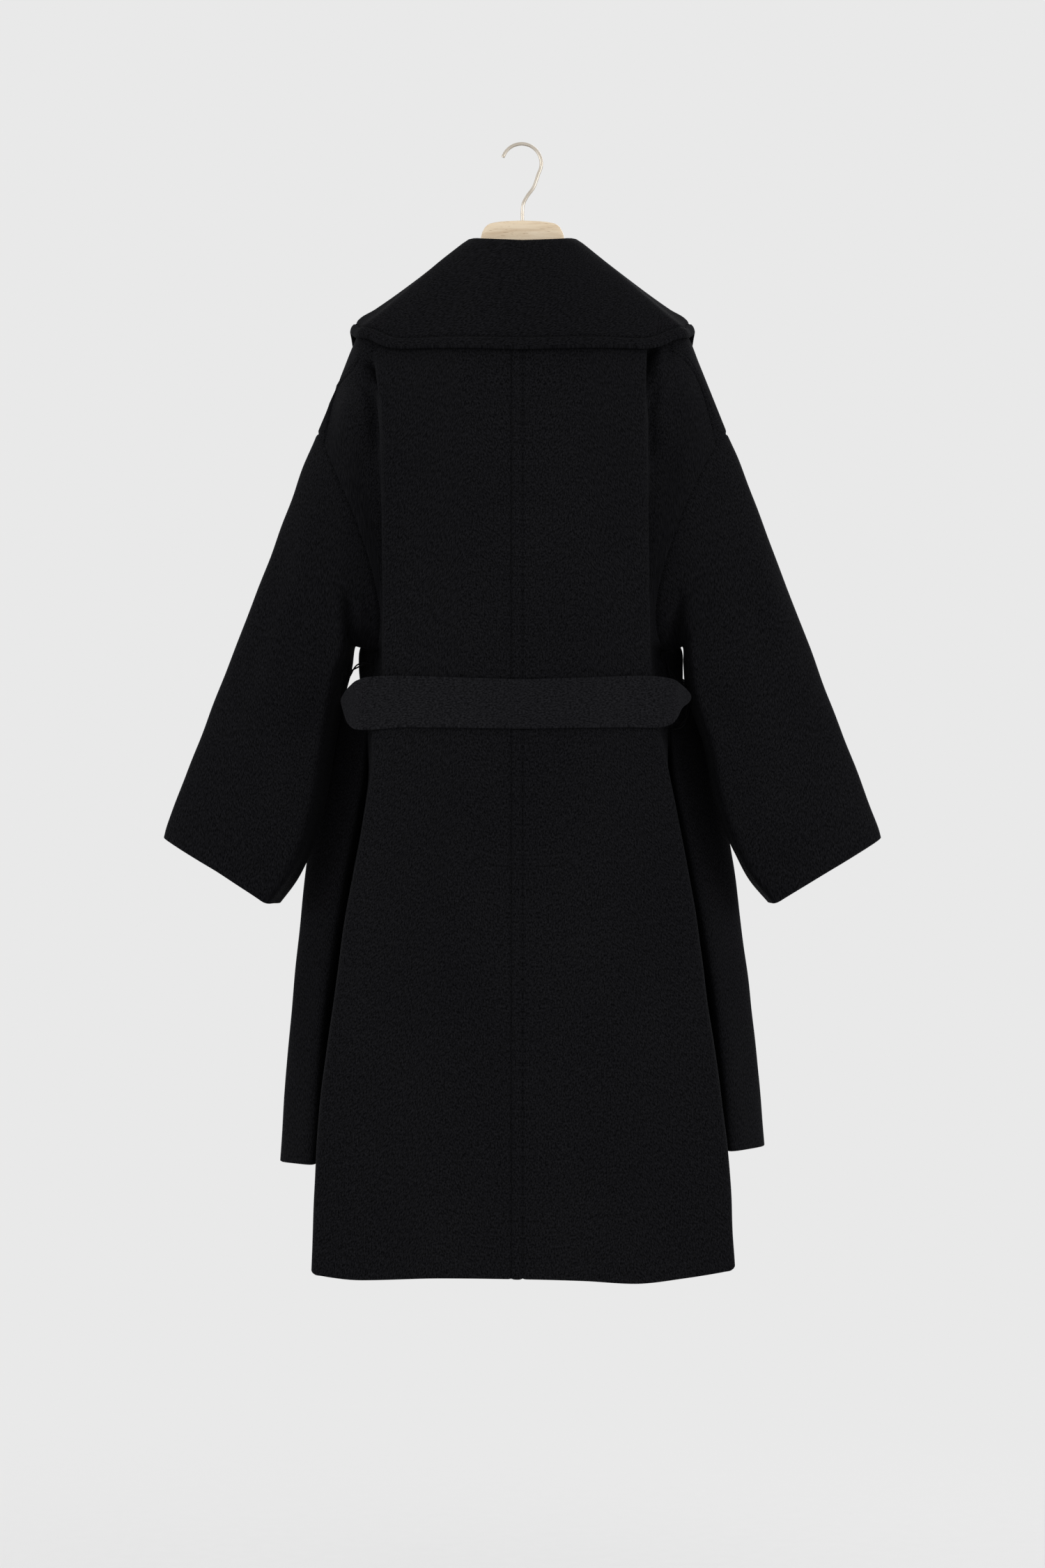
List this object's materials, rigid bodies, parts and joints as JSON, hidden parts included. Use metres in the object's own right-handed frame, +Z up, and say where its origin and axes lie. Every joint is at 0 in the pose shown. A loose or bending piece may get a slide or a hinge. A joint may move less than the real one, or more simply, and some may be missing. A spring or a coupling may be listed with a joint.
{
  "type": "belted coat on a hanger",
  "caption": "Long wrap coat of thick wool with a wide rolled collar, dropped shoulders and a loose tie belt, open at neck, cuffs and hem, hung on a wooden hanger.",
  "frame": {"origin": "inner top of the hanger hook's bend, where it rests on a rail", "axes": "+Z up, +X to the wearer's right, the coat's back faces -Y and its front faces +Y"},
  "size_m": [0.819, 0.2289, 1.2841],
  "materials": {
    "wool": "thick felted wool with a short brushed nap, near black",
    "belt_wool": "the same felted wool, two layers sewn together",
    "thread": "black twisted thread",
    "hanger_wood": "pale beech, clear satin lacquer",
    "hook_metal": "satin nickel-plated steel wire"
  },
  "bodies": {
    "root": {"back_left": "wool", "back_right": "wool", "front_left": "wool", "front_right": "wool", "sleeve_left": "wool", "sleeve_right": "wool", "collar": "wool", "belt": "belt_wool", "belt_knot": "belt_wool", "belt_end_left": "belt_wool", "belt_end_right": "belt_wool", "belt_loop_left": "thread", "belt_loop_right": "thread", "hanger": "hanger_wood", "hanger_hook": "hook_metal"}
  },
  "joints": []
}
